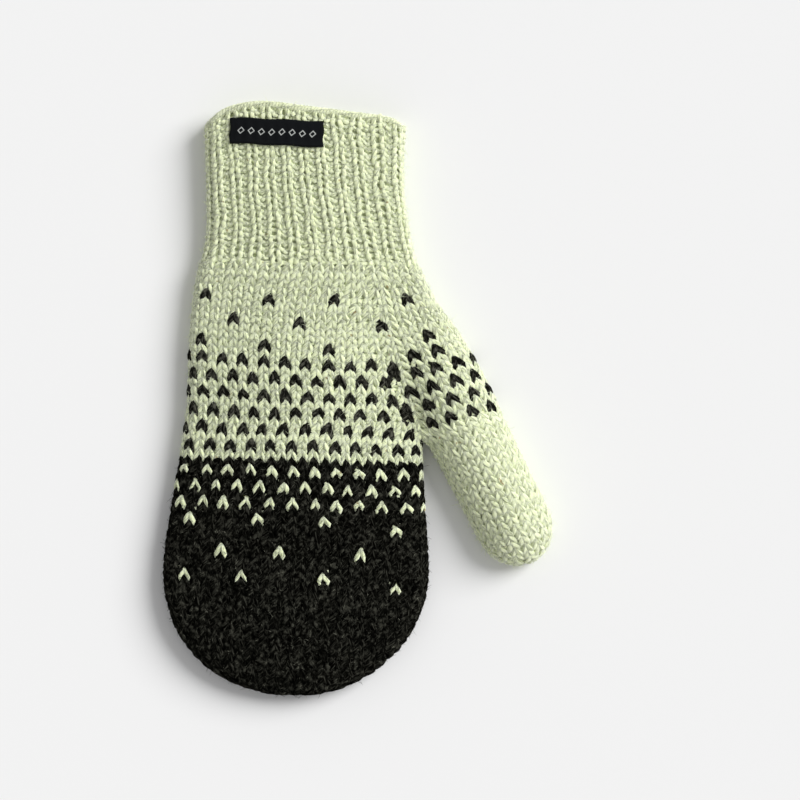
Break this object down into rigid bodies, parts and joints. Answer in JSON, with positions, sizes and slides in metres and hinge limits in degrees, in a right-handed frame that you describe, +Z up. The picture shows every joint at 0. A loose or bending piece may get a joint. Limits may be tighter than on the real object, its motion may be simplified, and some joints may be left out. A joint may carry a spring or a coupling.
{
  "type": "knitted mitten",
  "caption": "Knitted wool mitten with a ribbed cuff, gusseted thumb and a cream hand that fades through flecks into a charcoal finger end.",
  "frame": {"origin": "middle of the mitten's bounding box, on the surface that it lies on", "axes": "+X from the hand towards the thumb, +Y from the finger end towards the cuff's mouth, +Z up from the surface through the palm and the back of the hand"},
  "size_m": [0.1757, 0.2673, 0.0228],
  "materials": {
    "cream_wool": "heathered cream wool, knitted, slightly fuzzy",
    "charcoal_wool": "charcoal wool with lighter grey fibres, knitted, slightly fuzzy",
    "black_tape": "woven black tape with a soft sheen"
  },
  "bodies": {
    "root": {"cuff": "cream_wool", "hand_light": "cream_wool", "hand_dark": "charcoal_wool", "thumb": "cream_wool", "label": "black_tape"}
  },
  "joints": []
}
